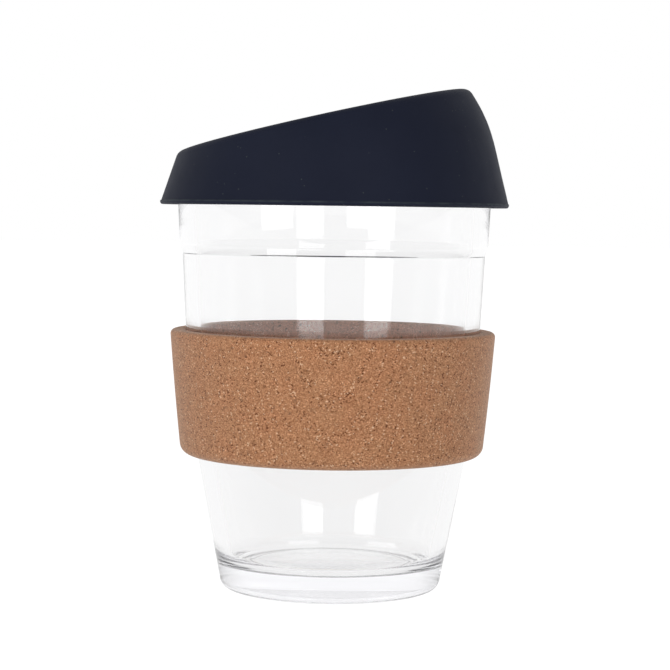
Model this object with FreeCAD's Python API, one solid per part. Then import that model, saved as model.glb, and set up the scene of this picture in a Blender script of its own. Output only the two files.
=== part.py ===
import FreeCAD, Part
import math
import os

# A reusable coffee cup: a pressed glass tumbler, a cork band round its waist and a slanted silicone lid.
# Millimetres. +Z is up, the origin is the middle of the foot, and +X points to the lid's drinking side.

# Glass tumbler: two cones that meet in a wide bend, under a collar that stands proud at the top.
GLASS_HEIGHT = 108.0
GLASS_WALL = 4.1
LOWER_LEAN = 10.8            # degrees from upright, foot to bend
UPPER_LEAN = 3.1             # degrees from upright, bend to rim
BEND_HEIGHT = 46.9
BEND_RADIUS = 38.15          # where the two outer cones would meet
BEND_ROUNDING = 230.0
COLLAR_HEIGHT = 90.1         # middle of the step under the collar
COLLAR_STEP = 0.55
STEP_RISE = 1.28
STEP_LOWER_ROUNDING = 0.8
STEP_UPPER_ROUNDING = 5.8
RIM_ROUNDING = 1.3
FLOOR_HEIGHT = 6.8           # where the slope of the crowned floor meets the wall
FLOOR_ROUNDING = 5.0
FLOOR_CROWN = 1.3            # rise of the floor from the wall to its middle
CROWN_RADIUS = 9.0           # where the floor's slope would meet its level middle
CROWN_ROUNDING = 215.0
HEEL_ROUNDING = 2.8
FOOT_RING_WIDTH = 2.0        # ring that the cup stands on
FOOT_RECESS = 1.8
RECESS_RUN = 3.2             # from the foot ring to the recess's full depth
RECESS_ROUNDING = 2.0

# Cork band: a slightly bellied ring that hugs the bend of the glass.
BAND_BOTTOM = 35.9
BAND_TOP = 69.2
BAND_BELLY_HEIGHT = 52.5
BAND_BELLY_RADIUS = 42.2
BAND_UPPER_LEAN = 4.6
BAND_LOWER_LEAN = 6.1
BAND_BELLY_ROUNDING = 1000.0
BAND_TOP_ROUNDING = 1.2
BAND_BOTTOM_ROUNDING = 3.0
BAND_INNER_ROUNDING = 0.6
BAND_GAP = 0.3               # between the cork and the glass

# Silicone lid: a round hem, sides that lean in, and a tilted round top that is high on the +X side.
HEM_HEIGHT = 102.3
HEM_RADIUS = 46.6            # where the lines of the sides would reach the hem
LOW_SIDE_HEIGHT = 14.0       # hem to the top's low edge
HIGH_SIDE_HEIGHT = 31.8      # hem to the top's high edge
LOW_SIDE_LEAN = 0.34         # sideways per unit of height
HIGH_SIDE_LEAN = 0.25
SHOULDER_START = 16.8        # height above the hem where the high side starts to curve in
SHOULDER_ROUNDING = 33.3
TOP_ROUNDING = 2.6
LID_WALL = 2.2
LID_TOP_THICKNESS = 2.2
SECTION_COUNT = 7
HEM_BEAD_HEIGHT = 1.1
HEM_BEAD_RADIUS = 46.5
HEM_BEAD_ROUNDING = 0.7
HEM_LIP_ROUNDING = 0.1
DISH_DEPTH = 1.2
DISH_RIM = 5.5               # width of the rim that is left round the dish
DISH_ROUNDING = 1.0
SIP_WIDTH = 14.0
SIP_DEPTH = 5.6
SIP_INSET = 11.0             # from the top's high edge to the middle of the drinking slot
SIP_ROUNDING = 0.8
VENT_RADIUS = 1.1
VENT_ROUNDING = 0.4
VENT_INSET = 13.0
SEAT_GAP = 0.3               # between the rim of the glass and the seat that rests on it
SEAT_THICKNESS = 1.8
SEAT_ROUNDING = 0.4
PLUG_GAP = 0.9
PLUG_WALL = 1.8
PLUG_DEPTH = 5.0
PLUG_ROOT_ROUNDING = 0.3
PLUG_END_ROUNDING = 0.4
RIB_COUNT = 2
RIB_START = 1.5              # from the seat to the middle of the first sealing rib
RIB_PITCH = 2.0
RIB_PROUD = 0.35
RIB_HEIGHT = 1.2
RIB_ROUNDING = 0.3

CUTTER_REACH = 8.0           # how far the cutters of the slot and the air hole go to either side of the top
HEM_CLEARANCE = 1.0          # how far the cutter of the underside starts below the hem
CONTACT = 0.01               # anything nearer than this counts as touching

Y_AXIS = FreeCAD.Vector(0, 1, 0)
Z_AXIS = FreeCAD.Vector(0, 0, 1)
ORIGIN = FreeCAD.Vector(0, 0, 0)


def lean(degrees):
    return math.tan(math.radians(degrees))


def turned(corners):
    """Solid of revolution about Z. Each corner is (radius, height, rounding) and gets a tangent arc."""
    edges = []
    last_end = None
    first_start = None
    count = len(corners)
    for i in range(count):
        radius, height, rounding = corners[i]
        here = FreeCAD.Vector(radius, 0, height)
        before = FreeCAD.Vector(corners[i - 1][0], 0, corners[i - 1][1])
        after = FreeCAD.Vector(corners[(i + 1) % count][0], 0, corners[(i + 1) % count][1])
        start = here
        end = here
        arc = None
        if rounding > 0:
            back = (before - here).normalize()
            ahead = (after - here).normalize()
            half_angle = back.getAngle(ahead) / 2
            reach = rounding / math.tan(half_angle)
            start = here + back * reach
            end = here + ahead * reach
            inward = (back + ahead).normalize()
            crown = here + inward * (rounding / math.sin(half_angle) - rounding)
            arc = Part.Arc(start, crown, end).toShape()
        if last_end is None:
            first_start = start
        else:
            edges.append(Part.makeLine(last_end, start))
        if arc is not None:
            edges.append(arc)
        last_end = end
    edges.append(Part.makeLine(last_end, first_start))
    return Part.Face(Part.Wire(edges)).revolve(ORIGIN, Z_AXIS, 360)


def glass_outer_radius(height):
    """Outer radius of the two sharp cones of the tumbler, without the collar."""
    if height < BEND_HEIGHT:
        return BEND_RADIUS - (BEND_HEIGHT - height) * lean(LOWER_LEAN)
    return BEND_RADIUS + (height - BEND_HEIGHT) * lean(UPPER_LEAN)


RIM_OUTER_RADIUS = glass_outer_radius(GLASS_HEIGHT) + COLLAR_STEP
RIM_INNER_RADIUS = RIM_OUTER_RADIUS - GLASS_WALL
SEAT_BOTTOM = GLASS_HEIGHT + SEAT_GAP
SEAT_TOP = SEAT_BOTTOM + SEAT_THICKNESS


def glass_cup():
    step_bottom = COLLAR_HEIGHT - STEP_RISE / 2
    step_top = COLLAR_HEIGHT + STEP_RISE / 2
    heel = glass_outer_radius(0)
    foot_edge = heel - HEEL_ROUNDING * math.tan(math.radians(45 - LOWER_LEAN / 2))
    recess_edge = foot_edge - FOOT_RING_WIDTH
    return turned([
        (0, FOOT_RECESS, 0),
        (recess_edge - RECESS_RUN, FOOT_RECESS, RECESS_ROUNDING),
        (recess_edge, 0, RECESS_ROUNDING),
        (heel, 0, HEEL_ROUNDING),
        (BEND_RADIUS, BEND_HEIGHT, BEND_ROUNDING),
        (glass_outer_radius(step_bottom), step_bottom, STEP_LOWER_ROUNDING),
        (glass_outer_radius(step_top) + COLLAR_STEP, step_top, STEP_UPPER_ROUNDING),
        (RIM_OUTER_RADIUS, GLASS_HEIGHT, RIM_ROUNDING),
        (RIM_INNER_RADIUS, GLASS_HEIGHT, RIM_ROUNDING),
        (BEND_RADIUS - GLASS_WALL, BEND_HEIGHT, BEND_ROUNDING),
        (glass_outer_radius(FLOOR_HEIGHT) - GLASS_WALL, FLOOR_HEIGHT, FLOOR_ROUNDING),
        (CROWN_RADIUS, FLOOR_HEIGHT + FLOOR_CROWN, CROWN_ROUNDING),
        (0, FLOOR_HEIGHT + FLOOR_CROWN, 0),
    ])


def cork_band():
    top_radius = BAND_BELLY_RADIUS + (BAND_TOP - BAND_BELLY_HEIGHT) * lean(BAND_UPPER_LEAN)
    bottom_radius = BAND_BELLY_RADIUS - (BAND_BELLY_HEIGHT - BAND_BOTTOM) * lean(BAND_LOWER_LEAN)
    return turned([
        (bottom_radius, BAND_BOTTOM, BAND_BOTTOM_ROUNDING),
        (BAND_BELLY_RADIUS, BAND_BELLY_HEIGHT, BAND_BELLY_ROUNDING),
        (top_radius, BAND_TOP, BAND_TOP_ROUNDING),
        (glass_outer_radius(BAND_TOP) + BAND_GAP, BAND_TOP, BAND_INNER_ROUNDING),
        (BEND_RADIUS + BAND_GAP, BEND_HEIGHT, 0),
        (glass_outer_radius(BAND_BOTTOM) + BAND_GAP, BAND_BOTTOM, BAND_INNER_ROUNDING),
    ])


def low_side_x(rise):
    return -HEM_RADIUS + LOW_SIDE_LEAN * rise


def high_side_x(rise):
    curl = max(0.0, rise - SHOULDER_START) ** 2 / (2 * SHOULDER_ROUNDING)
    return HEM_RADIUS - HIGH_SIDE_LEAN * rise - curl


def lid_section(low_rise, high_rise, inset):
    """Circle that spans the lid from its low side to its high side, at the two heights above the hem."""
    low_x = low_side_x(low_rise) + inset
    high_x = high_side_x(high_rise) - inset
    span = math.hypot(high_x - low_x, high_rise - low_rise)
    tilt = math.degrees(math.atan2(high_rise - low_rise, high_x - low_x))
    circle = Part.makeCircle(span / 2)
    circle.rotate(ORIGIN, Y_AXIS, -tilt)
    circle.translate(FreeCAD.Vector((low_x + high_x) / 2, 0, HEM_HEIGHT + (low_rise + high_rise) / 2))
    return Part.Wire(circle)


def lid_form(start_rise, inset, top_drop):
    """Solid with the lid's outline from start_rise up, smaller by inset all round and by top_drop at the top."""
    sections = []
    for i in range(SECTION_COUNT):
        share = i / (SECTION_COUNT - 1)
        low_rise = start_rise + share * (LOW_SIDE_HEIGHT - top_drop - start_rise)
        high_rise = start_rise + share * (HIGH_SIDE_HEIGHT - top_drop - start_rise)
        sections.append(lid_section(low_rise, high_rise, inset))
    return Part.makeLoft(sections, True, False)


def top_placement():
    """Frame and radius of the lid's tilted top: origin in the middle, local X towards the high side."""
    low_x = low_side_x(LOW_SIDE_HEIGHT)
    high_x = high_side_x(HIGH_SIDE_HEIGHT)
    rise = HIGH_SIDE_HEIGHT - LOW_SIDE_HEIGHT
    tilt = math.degrees(math.atan2(rise, high_x - low_x))
    middle = FreeCAD.Vector((low_x + high_x) / 2, 0, HEM_HEIGHT + (LOW_SIDE_HEIGHT + HIGH_SIDE_HEIGHT) / 2)
    return FreeCAD.Placement(middle, FreeCAD.Rotation(Y_AXIS, -tilt)), math.hypot(high_x - low_x, rise) / 2


def top_edges(solid, placement, radius):
    """Edges of a solid that lie on the top's edge circle."""
    found = []
    for edge in solid.Edges:
        local = [placement.inverse().multVec(vertex.Point) for vertex in edge.Vertexes]
        on_plane = all(abs(point.z) < CONTACT for point in local)
        on_circle = all(abs(math.hypot(point.x, point.y) - radius) < CONTACT for point in local)
        if on_plane and on_circle:
            found.append(edge)
    return found


def silicone_lid():
    placement, top_radius = top_placement()
    outer = lid_form(HEM_BEAD_HEIGHT, 0, 0).fuse(hem_bead()).removeSplitter()
    outer = outer.makeFillet(TOP_ROUNDING, top_edges(outer, placement, top_radius))
    lid = outer.cut(rim_recess())
    lid = lid.cut(lid_form(SEAT_TOP - HEM_HEIGHT, LID_WALL, DISH_DEPTH + LID_TOP_THICKNESS))

    dish_radius = top_radius - DISH_RIM
    dish = Part.makeCone(dish_radius - DISH_DEPTH, dish_radius + DISH_DEPTH, 2 * DISH_DEPTH)
    dish.translate(FreeCAD.Vector(0, 0, -DISH_DEPTH))
    dish.Placement = placement.multiply(dish.Placement)
    lid = cut_and_round(lid, dish, DISH_ROUNDING)
    lid = cut_and_round(lid, sip_slot(placement, top_radius), SIP_ROUNDING)
    return cut_and_round(lid, vent_hole(placement, top_radius), VENT_ROUNDING)


def cut_and_round(solid, cutter, rounding):
    """Cuts the cutter out of the solid and rounds the edges where the cutter meets the old surface."""
    result = solid.cut(cutter)
    old_skin = Part.Shell(solid.Faces)
    new_skin = Part.Shell(cutter.Faces)
    edges = []
    for edge in result.Edges:
        middle = Part.Vertex(edge.valueAt((edge.FirstParameter + edge.LastParameter) / 2))
        on_old = middle.distToShape(old_skin)[0] < CONTACT
        on_new = middle.distToShape(new_skin)[0] < CONTACT
        if on_old and on_new:
            edges.append(edge)
    return result.makeFillet(rounding, edges)


def sip_slot(placement, top_radius):
    """Cutter for the drinking slot: a rounded oblong across the high side of the top."""
    height = 2 * CUTTER_REACH
    half_straight = (SIP_WIDTH - SIP_DEPTH) / 2
    corner = FreeCAD.Vector(-SIP_DEPTH / 2, -half_straight, -CUTTER_REACH)
    slot = Part.makeBox(SIP_DEPTH, 2 * half_straight, height, corner)
    for side in (-1, 1):
        end = FreeCAD.Vector(0, side * half_straight, -CUTTER_REACH)
        slot = slot.fuse(Part.makeCylinder(SIP_DEPTH / 2, height, end))
    slot.translate(placement.multVec(FreeCAD.Vector(top_radius - SIP_INSET, 0, 0)))
    return slot


def vent_hole(placement, top_radius):
    """Cutter for the small air hole on the low side of the top."""
    hole = Part.makeCylinder(VENT_RADIUS, 2 * CUTTER_REACH, FreeCAD.Vector(0, 0, -CUTTER_REACH))
    hole.translate(placement.multVec(FreeCAD.Vector(VENT_INSET - top_radius, 0, 0)))
    return hole


def hem_bead():
    """Disc under the lid's outline, whose rounded edge is the lip round the bottom of the lid."""
    return turned([
        (0, HEM_HEIGHT, 0),
        (HEM_BEAD_RADIUS, HEM_HEIGHT, HEM_BEAD_ROUNDING),
        (HEM_BEAD_RADIUS, HEM_HEIGHT + HEM_BEAD_HEIGHT, HEM_LIP_ROUNDING),
        (0, HEM_HEIGHT + HEM_BEAD_HEIGHT, 0),
    ])


def rim_recess():
    """Cutter for the lid's underside. It leaves the skirt, the seat on the rim and the ribbed plug ring."""
    skirt_inner = HEM_RADIUS - LID_WALL
    below = HEM_HEIGHT - HEM_CLEARANCE
    plug_outer = RIM_INNER_RADIUS - PLUG_GAP
    plug_inner = plug_outer - PLUG_WALL
    plug_bottom = SEAT_BOTTOM - PLUG_DEPTH
    corners = [
        (0, below, 0),
        (skirt_inner + LOW_SIDE_LEAN * HEM_CLEARANCE, below, 0),
        (skirt_inner - LOW_SIDE_LEAN * (SEAT_BOTTOM - HEM_HEIGHT), SEAT_BOTTOM, SEAT_ROUNDING),
        (plug_outer, SEAT_BOTTOM, PLUG_ROOT_ROUNDING),
    ]
    for i in range(RIB_COUNT):
        middle = SEAT_BOTTOM - RIB_START - RIB_PITCH * i
        corners.append((plug_outer, middle + RIB_HEIGHT / 2, 0))
        corners.append((plug_outer + RIB_PROUD, middle, RIB_ROUNDING))
        corners.append((plug_outer, middle - RIB_HEIGHT / 2, 0))
    corners.append((plug_outer, plug_bottom, PLUG_END_ROUNDING))
    corners.append((plug_inner, plug_bottom, PLUG_END_ROUNDING))
    corners.append((plug_inner, SEAT_TOP, 0))
    corners.append((0, SEAT_TOP, 0))
    return turned(corners)


os.makedirs("parts", exist_ok=True)
glass_cup().exportStep("parts/glass_cup.step")
cork_band().exportStep("parts/cork_band.step")
silicone_lid().exportStep("parts/silicone_lid.step")
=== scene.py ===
import math

import bmesh
import bpy
from mathutils import Matrix, Vector, noise


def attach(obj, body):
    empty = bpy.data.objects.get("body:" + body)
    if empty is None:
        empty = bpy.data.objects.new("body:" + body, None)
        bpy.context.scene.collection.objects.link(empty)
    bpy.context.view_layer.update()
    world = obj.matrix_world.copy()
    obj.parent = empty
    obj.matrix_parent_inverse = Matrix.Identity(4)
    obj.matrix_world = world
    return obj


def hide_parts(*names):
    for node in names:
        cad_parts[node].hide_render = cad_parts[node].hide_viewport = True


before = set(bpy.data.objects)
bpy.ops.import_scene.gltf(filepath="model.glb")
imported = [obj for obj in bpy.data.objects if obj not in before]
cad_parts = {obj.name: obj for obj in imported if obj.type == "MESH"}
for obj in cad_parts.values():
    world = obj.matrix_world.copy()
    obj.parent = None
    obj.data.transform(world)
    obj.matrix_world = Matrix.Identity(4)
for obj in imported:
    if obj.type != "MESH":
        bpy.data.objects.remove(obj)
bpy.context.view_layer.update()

# A reusable coffee cup: clear glass tumbler, cork band and slanted silicone lid.
# Metres, +Z up, +X the drinking side. Leans are degrees from upright.
MM = 0.001
ON_AXIS = 1e-7               # a point with a smaller radius lies on the axis

# Glass tumbler, as in the CAD: two cones that meet in a wide bend, under a collar that stands proud.
GLASS_HEIGHT = 108.0 * MM
GLASS_WALL = 4.1 * MM
LOWER_LEAN = 10.8
UPPER_LEAN = 3.1
BEND_HEIGHT = 46.9 * MM
BEND_RADIUS = 38.15 * MM
BEND_ROUNDING = 230 * MM
COLLAR_HEIGHT = 90.1 * MM
COLLAR_STEP = 0.55 * MM
STEP_RISE = 1.28 * MM
STEP_LOWER_ROUNDING = 0.8 * MM
STEP_UPPER_ROUNDING = 5.8 * MM
RIM_ROUNDING = 1.3 * MM
FLOOR_HEIGHT = 6.8 * MM
FLOOR_ROUNDING = 5.0 * MM
FLOOR_CROWN = 1.3 * MM
CROWN_RADIUS = 9.0 * MM
CROWN_ROUNDING = 215 * MM
HEEL_ROUNDING = 2.8 * MM
FOOT_RING_WIDTH = 2.0 * MM
FOOT_RECESS = 1.8 * MM
RECESS_RUN = 3.2 * MM
RECESS_ROUNDING = 2.0 * MM
GLASS_SEGMENTS = 384
GROUND_ROUGHNESS = 0.17      # of the foot's underside
GROUND_FADE = 0.7 * MM       # height in which the ground underside turns into polished glass

# Cork band: the bellied ring of the CAD, but close against the glass.
BAND_BOTTOM = 35.9 * MM
BAND_TOP = 69.2 * MM
BAND_BELLY_HEIGHT = 52.5 * MM
BAND_BELLY_RADIUS = 42.2 * MM
BAND_UPPER_LEAN = 4.6
BAND_LOWER_LEAN = 6.1
BAND_BELLY_ROUNDING = 1000 * MM
BAND_TOP_ROUNDING = 1.2 * MM
BAND_BOTTOM_ROUNDING = 3.0 * MM
BAND_INNER_ROUNDING = 0.6 * MM
BAND_GAP = 0.08 * MM
CORK_SEGMENTS = 520
CORK_SPACING = 0.45 * MM     # along the outline of the band
GRANULE_SIZE = 0.8 * MM
GRANULE_GROOVE = 0.012 * MM
SEAM_WIDTH = 0.3             # in granule sizes, as the pit's radius is
PIT_RADIUS = 0.6
PIT_DEPTH = 0.14 * MM
PIT_SHARE = 0.03             # share of the granules that have a pit in their place
PIT_DRAW = 7.3               # spreads the granules' centres before each one's chance is drawn
GRAIN_SCALE = 4200           # cells of the cork's fine pattern per metre
GRAIN_WANDER = 0.6 * MM      # how far noise bends that pattern
SPECK_SCALE = 1700           # the same for the pattern that holds the specks
SPECK_STRETCH = (1.7, 1.7, 0.75)
SPECK_TURNS = (-40, 35)      # degrees from level
SPECK_CROSSING = 20          # degrees between the dark and the pale specks

# Silicone lid: the CAD's own shape, with a painted highlight along the upper edge of its hem.
HEM_HIGHLIGHT_HEIGHT = 103.3 * MM
HEM_HIGHLIGHT_WIDTH = 0.35 * MM

# Camera, in front of the cup at three quarters of its height.
CAMERA_DISTANCE = 0.5655
CAMERA_HEIGHT = 0.1008
CAMERA_SIDE = 0.00058
CAMERA_PITCH = 3.336         # degrees below level
CAMERA_ROLL = 0.75           # degrees
SENSOR = 36.0                # millimetres, as the focal length is
FOCAL_LENGTH = 113.4
CLIP_START = 0.01

# Studio: a white floor and surroundings, dim in front of the cup, with two tall soft panels there.
# Brightnesses are against 1 for the white that the camera sees directly.
FLOOR_DROP = 0.05 * MM       # the floor lies this far below the foot
FLOOR_RADIUS = 6.0
FLOOR_GLOW_IN_PAINTED_SHADOW = 0.885      # in and through the glass, up to GLOW_START from the middle: a painted shadow of the cup on the floor
FLOOR_GLOW_FAR = 0.94        # in and through the glass, from GLOW_END on
FLOOR_GLOW_ON_CUP = 0.6      # as light on the cork and the lid
GLOW_START = 0.1
GLOW_END = 1.5
STUDIO_BACK = 1.0            # behind the cup, seen through the glass
STUDIO_BACK_SHEEN = 0.75     # behind the cup, for all other light
STUDIO_FRONT = 0.25          # in front of the cup
STUDIO_THROUGH_GLASS = 0.3   # in front of the cup, seen through the glass
STUDIO_FADE_START = -0.5     # the Y part of the direction where the front starts to turn into the back
STUDIO_FADE_END = 0.8
LIGHT_BOUNCES = 32
PANEL_DISTANCE = 1.0
PANEL_WIDTH = 0.42
PANEL_HEIGHT = 0.8


def lean(degrees):
    return math.tan(math.radians(degrees))


def rounded_outline(corners, steps=10):
    """Outline of (radius, height) points. Each corner is (radius, height, rounding) and gets an arc."""
    points = []
    count = len(corners)
    for i, (radius, height, rounding) in enumerate(corners):
        here = Vector((radius, height))
        if rounding == 0:
            points.append(here)
            continue
        back = (Vector(corners[i - 1][:2]) - here).normalized()
        ahead = (Vector(corners[(i + 1) % count][:2]) - here).normalized()
        half_angle = back.angle(ahead) / 2
        centre = here + (back + ahead).normalized() * (rounding / math.sin(half_angle))
        first = here + back * (rounding / math.tan(half_angle)) - centre
        last = here + ahead * (rounding / math.tan(half_angle)) - centre
        for step in range(steps + 1):
            points.append(centre + rounding * first.slerp(last, step / steps))
    return points


def divided(points, spacing):
    """The closed outline with extra points, so that no two neighbours are further apart than spacing."""
    result = []
    for i, here in enumerate(points):
        after = points[(i + 1) % len(points)]
        pieces = max(1, math.ceil((after - here).length / spacing))
        for step in range(pieces):
            result.append(here.lerp(after, step / pieces))
    return result


def turned(name, points, segments):
    """Closed mesh of the outline turned about Z. Points on the axis become a single vertex."""
    mesh = bpy.data.meshes.new(name)
    form = bmesh.new()
    rings = []
    for radius, height in points:
        if radius < ON_AXIS:
            rings.append([form.verts.new((0, 0, height))] * segments)
            continue
        ring = []
        for k in range(segments):
            angle = 2 * math.pi * k / segments
            ring.append(form.verts.new((radius * math.cos(angle), radius * math.sin(angle), height)))
        rings.append(ring)
    for i, ring in enumerate(rings):
        above = rings[(i + 1) % len(rings)]
        for k in range(segments):
            after = (k + 1) % segments
            corners = list(dict.fromkeys((ring[k], ring[after], above[after], above[k])))
            if len(corners) > 2:
                form.faces.new(corners).smooth = True
    bmesh.ops.recalc_face_normals(form, faces=form.faces)
    form.to_mesh(mesh)
    form.free()
    piece = bpy.data.objects.new(name, mesh)
    bpy.context.collection.objects.link(piece)
    return piece


def glass_outer_radius(height):
    """Outer radius of the two sharp cones of the tumbler, without the collar."""
    if height < BEND_HEIGHT:
        return BEND_RADIUS - (BEND_HEIGHT - height) * lean(LOWER_LEAN)
    return BEND_RADIUS + (height - BEND_HEIGHT) * lean(UPPER_LEAN)


def make_glass():
    step_bottom = COLLAR_HEIGHT - STEP_RISE / 2
    step_top = COLLAR_HEIGHT + STEP_RISE / 2
    rim_outer = glass_outer_radius(GLASS_HEIGHT) + COLLAR_STEP
    heel = glass_outer_radius(0)
    foot_edge = heel - HEEL_ROUNDING * math.tan(math.radians(45 - LOWER_LEAN / 2))
    recess_edge = foot_edge - FOOT_RING_WIDTH
    outline = rounded_outline([
        (0, FOOT_RECESS, 0),
        (recess_edge - RECESS_RUN, FOOT_RECESS, RECESS_ROUNDING),
        (recess_edge, 0, RECESS_ROUNDING),
        (heel, 0, HEEL_ROUNDING),
        (BEND_RADIUS, BEND_HEIGHT, BEND_ROUNDING),
        (glass_outer_radius(step_bottom), step_bottom, STEP_LOWER_ROUNDING),
        (glass_outer_radius(step_top) + COLLAR_STEP, step_top, STEP_UPPER_ROUNDING),
        (rim_outer, GLASS_HEIGHT, RIM_ROUNDING),
        (rim_outer - GLASS_WALL, GLASS_HEIGHT, RIM_ROUNDING),
        (BEND_RADIUS - GLASS_WALL, BEND_HEIGHT, BEND_ROUNDING),
        (glass_outer_radius(FLOOR_HEIGHT) - GLASS_WALL, FLOOR_HEIGHT, FLOOR_ROUNDING),
        (CROWN_RADIUS, FLOOR_HEIGHT + FLOOR_CROWN, CROWN_ROUNDING),
        (0, FLOOR_HEIGHT + FLOOR_CROWN, 0),
    ])
    return turned("glass", outline, GLASS_SEGMENTS)


def make_cork():
    top_radius = BAND_BELLY_RADIUS + (BAND_TOP - BAND_BELLY_HEIGHT) * lean(BAND_UPPER_LEAN)
    bottom_radius = BAND_BELLY_RADIUS - (BAND_BELLY_HEIGHT - BAND_BOTTOM) * lean(BAND_LOWER_LEAN)
    outline = rounded_outline([
        (bottom_radius, BAND_BOTTOM, BAND_BOTTOM_ROUNDING),
        (BAND_BELLY_RADIUS, BAND_BELLY_HEIGHT, BAND_BELLY_ROUNDING),
        (top_radius, BAND_TOP, BAND_TOP_ROUNDING),
        (glass_outer_radius(BAND_TOP) + BAND_GAP, BAND_TOP, BAND_INNER_ROUNDING),
        (BEND_RADIUS + BAND_GAP, BEND_HEIGHT, 0),
        (glass_outer_radius(BAND_BOTTOM) + BAND_GAP, BAND_BOTTOM, BAND_INNER_ROUNDING),
    ])
    cork = turned("cork", divided(outline, CORK_SPACING), CORK_SEGMENTS)
    press_granules(cork.data)
    return cork


def press_granules(mesh):
    """Sinks the seams between the cork's granules, digs its pits, and notes the pits and the inner face."""
    pit_note = mesh.attributes.new("pit", "FLOAT", "POINT")
    inside_note = mesh.attributes.new("inside", "FLOAT", "POINT")
    moved = []
    for vertex, normal in zip(mesh.vertices, mesh.vertex_normals):
        distances, centres = noise.voronoi(vertex.co / GRANULE_SIZE)
        seam = max(0.0, 1 - (distances[1] - distances[0]) / SEAM_WIDTH)
        chance = (noise.cell(centres[0] * PIT_DRAW) + 1) / 2
        pit = 0.0
        if chance < PIT_SHARE:
            pit = max(0.0, 1 - distances[0] / PIT_RADIUS)
        pit_note.data[vertex.index].value = pit
        outward = vertex.co.xy.normalized().dot(normal.vector.xy)
        # 1 where the surface faces the axis, falling to 0 over the rounded edges.
        inside_note.data[vertex.index].value = max(0.0, min(1.0, -2 * outward - 0.5))
        moved.append(vertex.co - normal.vector * (GRANULE_GROOVE * seam + PIT_DEPTH * pit))
    for vertex, place in zip(mesh.vertices, moved):
        vertex.co = place


class Nodes:
    """Short hand for building one material's or world's node tree."""

    def __init__(self, owner):
        owner.use_nodes = True
        self.tree = owner.node_tree

    def add(self, kind, inputs=None, **settings):
        """New node with the given settings, and with its inputs linked to sockets or set to values."""
        node = self.tree.nodes.new(kind)
        for name, value in settings.items():
            setattr(node, name, value)
        for name, value in (inputs or {}).items():
            socket = node.inputs[name]
            if isinstance(value, bpy.types.NodeSocket):
                self.tree.links.new(value, socket)
            else:
                socket.default_value = value
        return node

    def ramp(self, factor, *stops):
        """Colour ramp with the given (position, colour) stops."""
        node = self.add("ShaderNodeValToRGB", {"Fac": factor})
        elements = node.color_ramp.elements
        while len(elements) < len(stops):
            elements.new(1.0)
        for element, (position, colour) in zip(elements, stops):
            element.position = position
            element.color = (*colour, 1)
        return node.outputs["Color"]

    def mixed(self, factor, first, second, blend_type="MIX"):
        """Colour mix of two sockets or colours."""
        node = self.add("ShaderNodeMix", data_type="RGBA", blend_type=blend_type)
        sockets = {socket.identifier: socket for socket in node.inputs}
        for identifier, value in (("Factor_Float", factor), ("A_Color", first), ("B_Color", second)):
            if isinstance(value, bpy.types.NodeSocket):
                self.tree.links.new(value, sockets[identifier])
            else:
                sockets[identifier].default_value = value
        return next(socket for socket in node.outputs if socket.identifier == "Result_Color")

    def noise_field(self, place, scale, detail):
        """Smooth noise between 0 and 1."""
        inputs = {"Vector": place, "Scale": scale, "Detail": detail}
        return self.add("ShaderNodeTexNoise", inputs).outputs["Fac"]

    def ranged(self, value, to_min, to_max, from_min=0.0, from_max=1.0):
        """The value, with the range from_min to from_max brought to the range to_min to to_max."""
        inputs = {"Value": value, "From Min": from_min, "From Max": from_max}
        inputs.update({"To Min": to_min, "To Max": to_max})
        return self.add("ShaderNodeMapRange", inputs).outputs["Result"]

    def calculated(self, operation, *values):
        """Result of a Math node for one or two values."""
        return self.add("ShaderNodeMath", dict(enumerate(values)), operation=operation).outputs["Value"]

    def link(self, socket, node, name):
        self.tree.links.new(socket, node.inputs[name])

    def bump(self, height, distance, strength, normal=None):
        inputs = {"Height": height, "Distance": distance, "Strength": strength}
        if normal:
            inputs["Normal"] = normal
        return self.add("ShaderNodeBump", inputs).outputs["Normal"]


def new_material(name):
    material = bpy.data.materials.new(name)
    nodes = Nodes(material)
    return material, nodes, nodes.tree.nodes["Principled BSDF"]


def set_finish(shader, **values):
    """Sets uniform values on the shader's own sockets. Underscores in the names stand for spaces."""
    for name, value in values.items():
        shader.inputs[name.replace("_", " ")].default_value = value


def glass_material():
    """Clear glass with a faint blue tint, ground a little on the underside of the foot."""
    material, nodes, shader = new_material("clear glass")
    set_finish(shader, Base_Color=(0.985, 0.985, 0.985, 1), Transmission_Weight=1.0, Roughness=0.0, IOR=1.5)
    place = nodes.add("ShaderNodeTexCoord").outputs["Object"]
    height = nodes.add("ShaderNodeSeparateXYZ", {"Vector": place}).outputs["Z"]
    ground = nodes.ranged(height, GROUND_ROUGHNESS, 0.0, FOOT_RECESS, FOOT_RECESS + GROUND_FADE)
    nodes.link(ground, shader, "Roughness")
    tint = nodes.add("ShaderNodeVolumeAbsorption", {"Color": (0.9, 0.9, 1.0, 1), "Density": 4.0})
    nodes.link(tint.outputs["Volume"], nodes.tree.nodes["Material Output"], "Volume")
    return material


def cork_specks(nodes, place, share, size, turn):
    """Mask of small oblong specks, tilted by turn degrees, in a share of a pattern's cells."""
    tilted = nodes.add(
        "ShaderNodeMapping",
        {"Vector": place, "Rotation": (0, math.radians(turn), 0), "Scale": SPECK_STRETCH},
        vector_type="TEXTURE",
    ).outputs["Vector"]
    cells = nodes.add("ShaderNodeTexVoronoi", {"Vector": tilted, "Scale": SPECK_SCALE}).outputs
    chance = nodes.add("ShaderNodeSeparateColor", {"Color": cells["Color"]}).outputs["Green"]
    chosen = nodes.ramp(chance, (share, (1, 1, 1)), (share + 0.01, (0, 0, 0)))
    near = nodes.ramp(cells["Distance"], (size, (0.95, 0.95, 0.95)), (size + 0.08, (0, 0, 0)))
    return nodes.mixed(1.0, near, chosen, "MULTIPLY")


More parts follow.
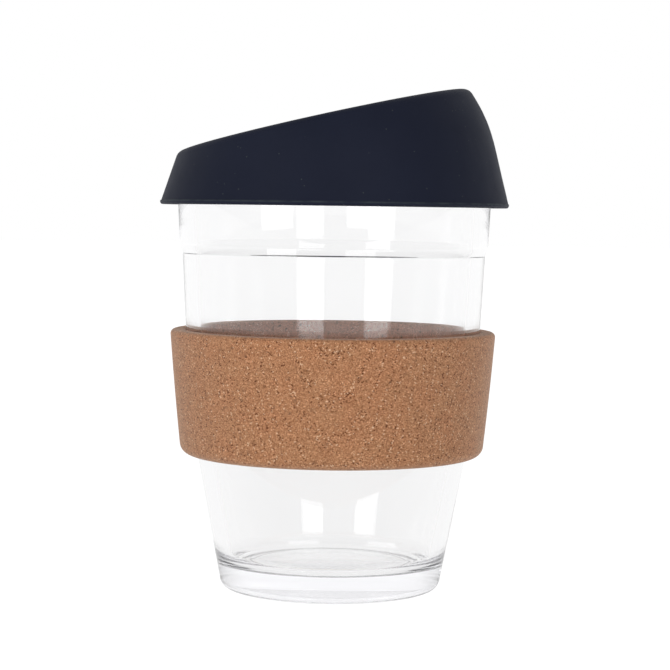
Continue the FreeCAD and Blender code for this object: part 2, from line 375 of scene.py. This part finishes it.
def cork_material():
    """Fine grains of many browns with dark and pale specks, painted light on the inner face, dark in the
    pits.
    """
    material, nodes, shader = new_material("pressed cork")
    set_finish(shader, Specular_IOR_Level=0.1, Sheen_Weight=0.4, Sheen_Roughness=0.5)
    shader.inputs["Sheen Tint"].default_value = (0.9, 0.8, 0.72, 1)
    place = nodes.add("ShaderNodeTexCoord").outputs["Object"]
    wander = nodes.add("ShaderNodeTexNoise", {"Vector": place, "Scale": 900, "Detail": 2.0}).outputs["Color"]
    offset = nodes.add("ShaderNodeVectorMath", {0: wander, "Scale": GRAIN_WANDER}, operation="SCALE")
    bent = nodes.add(
        "ShaderNodeVectorMath",
        {0: place, 1: offset.outputs["Vector"]},
        operation="ADD",
    ).outputs["Vector"]

    grain = nodes.add("ShaderNodeTexVoronoi", {"Vector": bent, "Scale": GRAIN_SCALE}).outputs["Color"]
    draws = nodes.add("ShaderNodeSeparateColor", {"Color": grain}).outputs
    tone = draws["Red"]
    colour = nodes.ramp(
        tone,
        (0.00, (0.260, 0.112, 0.053)),
        (0.10, (0.355, 0.156, 0.074)),
        (0.30, (0.425, 0.194, 0.094)),
        (0.60, (0.480, 0.225, 0.111)),
        (0.88, (0.545, 0.268, 0.137)),
        (1.00, (0.640, 0.360, 0.200)),
    )
    shade = nodes.ramp(
        draws["Green"],
        (0.00, (0.48, 0.42, 0.39)),
        (0.12, (0.84, 0.82, 0.80)),
        (0.50, (1.00, 1.00, 1.00)),
        (0.88, (1.12, 1.13, 1.12)),
        (1.00, (1.50, 1.60, 1.70)),
    )
    colour = nodes.mixed(0.9, colour, shade, "MULTIPLY")
    drift = nodes.noise_field(place, 160, 3.0)
    patch = nodes.ramp(drift, (0.35, (1.01, 0.985, 0.975)), (0.65, (0.99, 1.015, 1.02)))
    colour = nodes.mixed(1.0, colour, patch, "MULTIPLY")
    for turn in SPECK_TURNS:
        dark = cork_specks(nodes, bent, share=0.19, size=0.27, turn=turn)
        colour = nodes.mixed(dark, colour, (0.125, 0.036, 0.016, 1))
        pale = cork_specks(nodes, bent, share=0.11, size=0.23, turn=turn + SPECK_CROSSING)
        colour = nodes.mixed(pale, colour, (0.80, 0.55, 0.36, 1))
    # Painted light: the inner face, seen through the glass, is brightened and its grain half evened out.
    inside = nodes.add("ShaderNodeAttribute", attribute_name="inside").outputs["Fac"]
    brightened_inner = nodes.mixed(1.0, colour, (2.1, 2.4, 3.3, 1), "MULTIPLY")
    smooth = nodes.mixed(0.5, brightened_inner, (0.88, 0.48, 0.34, 1))
    colour = nodes.mixed(inside, colour, smooth)
    pit = nodes.add("ShaderNodeAttribute", attribute_name="pit").outputs["Fac"]
    colour = nodes.mixed(pit, colour, (0.10, 0.045, 0.028, 1))
    nodes.link(colour, shader, "Base Color")

    nodes.link(nodes.ranged(tone, 0.95, 0.75), shader, "Roughness")
    grit = nodes.noise_field(place, 2600, 3.0)
    steps = nodes.bump(tone, 0.02 * MM, 0.4)
    nodes.link(nodes.bump(grit, 0.05 * MM, 0.6, steps), shader, "Normal")
    return material


def silicone_material():
    """Matt navy silicone with faint clouds, a little dust and a painted highlight line along the hem."""
    material, nodes, shader = new_material("navy silicone")
    set_finish(shader, Specular_IOR_Level=0.1, Sheen_Weight=0.03, Sheen_Roughness=0.45)
    shader.inputs["Sheen Tint"].default_value = (0.75, 0.8, 0.9, 1)
    place = nodes.add("ShaderNodeTexCoord").outputs["Object"]
    cloud = nodes.noise_field(place, 60, 4.0)
    colour = nodes.ramp(cloud, (0.3, (0.0098, 0.0125, 0.0265)), (0.7, (0.0118, 0.0150, 0.0310)))
    speck = nodes.add("ShaderNodeTexVoronoi", {"Vector": place, "Scale": 400}).outputs["Distance"]
    dust = nodes.ramp(speck, (0.05, (0.9, 0.9, 0.9)), (0.075, (0, 0, 0)))
    colour = nodes.mixed(dust, colour, (0.050, 0.058, 0.060, 1))

    # Painted highlight: a thin lighter line where the upper edge of the hem catches light, broken up by
    # noise.
    height = nodes.add("ShaderNodeSeparateXYZ", {"Vector": place}).outputs["Z"]
    off_edge = nodes.calculated("ABSOLUTE", nodes.calculated("SUBTRACT", height, HEM_HIGHLIGHT_HEIGHT))
    edge = nodes.ranged(off_edge, 1.0, 0.0, from_max=HEM_HIGHLIGHT_WIDTH)
    hem_highlight_breakup = nodes.ramp(nodes.noise_field(place, 220, 3.0), (0.35, (0.1, 0.1, 0.1)), (0.6, (0.9, 0.9, 0.9)))
    hem_highlight_mask = nodes.mixed(1.0, edge, hem_highlight_breakup, "MULTIPLY")
    colour = nodes.mixed(hem_highlight_mask, colour, (0.042, 0.054, 0.062, 1))
    nodes.link(colour, shader, "Base Color")

    rubbed = nodes.noise_field(place, 140, 5.0)
    nodes.link(nodes.ranged(rubbed, 0.5, 0.68), shader, "Roughness")
    grain = nodes.noise_field(place, 2400, 2.0)
    nodes.link(nodes.bump(grain, 0.02 * MM, 0.5), shader, "Normal")
    return material


def make_stage():
    """White glowing floor: plain to the camera, and for everything else a little dimmer near the cup as a
    painted shadow of the cup.
    """
    mesh = bpy.data.meshes.new("floor")
    form = bmesh.new()
    bmesh.ops.create_circle(form, cap_ends=True, radius=FLOOR_RADIUS, segments=64)
    form.to_mesh(mesh)
    form.free()
    floor = bpy.data.objects.new("floor", mesh)
    bpy.context.collection.objects.link(floor)
    floor.location.z = -FLOOR_DROP
    material, nodes, shader = new_material("white floor")
    set_finish(shader, Base_Color=(0.12, 0.12, 0.12, 1), Roughness=0.9, Specular_IOR_Level=0.1)
    set_finish(shader, Emission_Color=(1, 1, 1, 1))
    ray = nodes.add("ShaderNodeLightPath").outputs
    place = nodes.add("ShaderNodeNewGeometry").outputs["Position"]
    away = nodes.add("ShaderNodeVectorMath", {0: place}, operation="LENGTH").outputs["Value"]
    # Painted shadow: the floor's glow falls off towards the cup, in place of shade cast by the cup.
    glow_with_painted_shadow = nodes.ranged(away, FLOOR_GLOW_IN_PAINTED_SHADOW, FLOOR_GLOW_FAR, GLOW_START, GLOW_END)
    glow_with_painted_shadow = nodes.ranged(ray["Is Diffuse Ray"], glow_with_painted_shadow, FLOOR_GLOW_ON_CUP)
    nodes.link(nodes.calculated("MAXIMUM", glow_with_painted_shadow, ray["Is Camera Ray"]), shader, "Emission Strength")
    mesh.materials.append(material)


def make_studio():
    """White surroundings: plain to the camera, and dimmer in front of the cup for everything else."""
    world = bpy.data.worlds.new("studio")
    bpy.context.scene.world = world
    nodes = Nodes(world)
    direction = nodes.add("ShaderNodeTexCoord").outputs["Generated"]
    depth = nodes.add("ShaderNodeSeparateXYZ", {"Vector": direction}).outputs["Y"]
    ray = nodes.add("ShaderNodeLightPath").outputs
    front = nodes.ranged(ray["Is Transmission Ray"], STUDIO_FRONT, STUDIO_THROUGH_GLASS)
    back = nodes.ranged(ray["Is Transmission Ray"], STUDIO_BACK_SHEEN, STUDIO_BACK)
    shade = nodes.ranged(depth, front, back, STUDIO_FADE_START, STUDIO_FADE_END)
    background = nodes.tree.nodes["Background"]
    background.inputs["Color"].default_value = (1, 1, 1, 1)
    nodes.link(nodes.calculated("MAXIMUM", shade, ray["Is Camera Ray"]), background, "Strength")


def add_panel(name, azimuth, brightness):
    """Soft upright light at an azimuth from the front, facing the cup's axis and hidden from the camera."""
    light = bpy.data.lights.new(name, "AREA")
    light.shape = "RECTANGLE"
    light.size = PANEL_WIDTH
    light.size_y = PANEL_HEIGHT
    light.energy = brightness * math.pi * PANEL_WIDTH * PANEL_HEIGHT
    panel = bpy.data.objects.new(name, light)
    bpy.context.collection.objects.link(panel)
    angle = math.radians(azimuth)
    panel.location = (PANEL_DISTANCE * math.sin(angle), -PANEL_DISTANCE * math.cos(angle), PANEL_HEIGHT / 2)
    panel.rotation_euler = (math.pi / 2, 0, angle)
    panel.visible_camera = False


def make_camera():
    camera = bpy.data.objects.new("camera", bpy.data.cameras.new("camera"))
    bpy.context.collection.objects.link(camera)
    camera.data.sensor_width = SENSOR
    camera.data.lens = FOCAL_LENGTH
    camera.data.clip_start = CLIP_START
    place = Matrix.Translation((CAMERA_SIDE, -CAMERA_DISTANCE, CAMERA_HEIGHT))
    pitch = Matrix.Rotation(math.radians(90 - CAMERA_PITCH), 4, "X")
    roll = Matrix.Rotation(math.radians(CAMERA_ROLL), 4, "Z")
    camera.matrix_world = place @ pitch @ roll
    bpy.context.scene.camera = camera


def set_light_paths(scene):
    """Enough bounces for light that runs round inside the thick base, and plain display of the colours."""
    scene.cycles.max_bounces = LIGHT_BOUNCES
    scene.cycles.transmission_bounces = LIGHT_BOUNCES
    scene.cycles.glossy_bounces = LIGHT_BOUNCES
    scene.view_settings.view_transform = "Standard"


glass = make_glass()
glass.data.materials.append(glass_material())
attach(glass, "cup")
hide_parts("glass_cup")

cork = make_cork()
cork.data.materials.append(cork_material())
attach(cork, "band")
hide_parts("cork_band")

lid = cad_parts["silicone_lid"]
lid.material_slots[0].material = silicone_material()

make_stage()
make_studio()
add_panel("left panel", azimuth=-41, brightness=3.2)
add_panel("right panel", azimuth=20.6, brightness=2.8)
make_camera()
set_light_paths(bpy.context.scene)
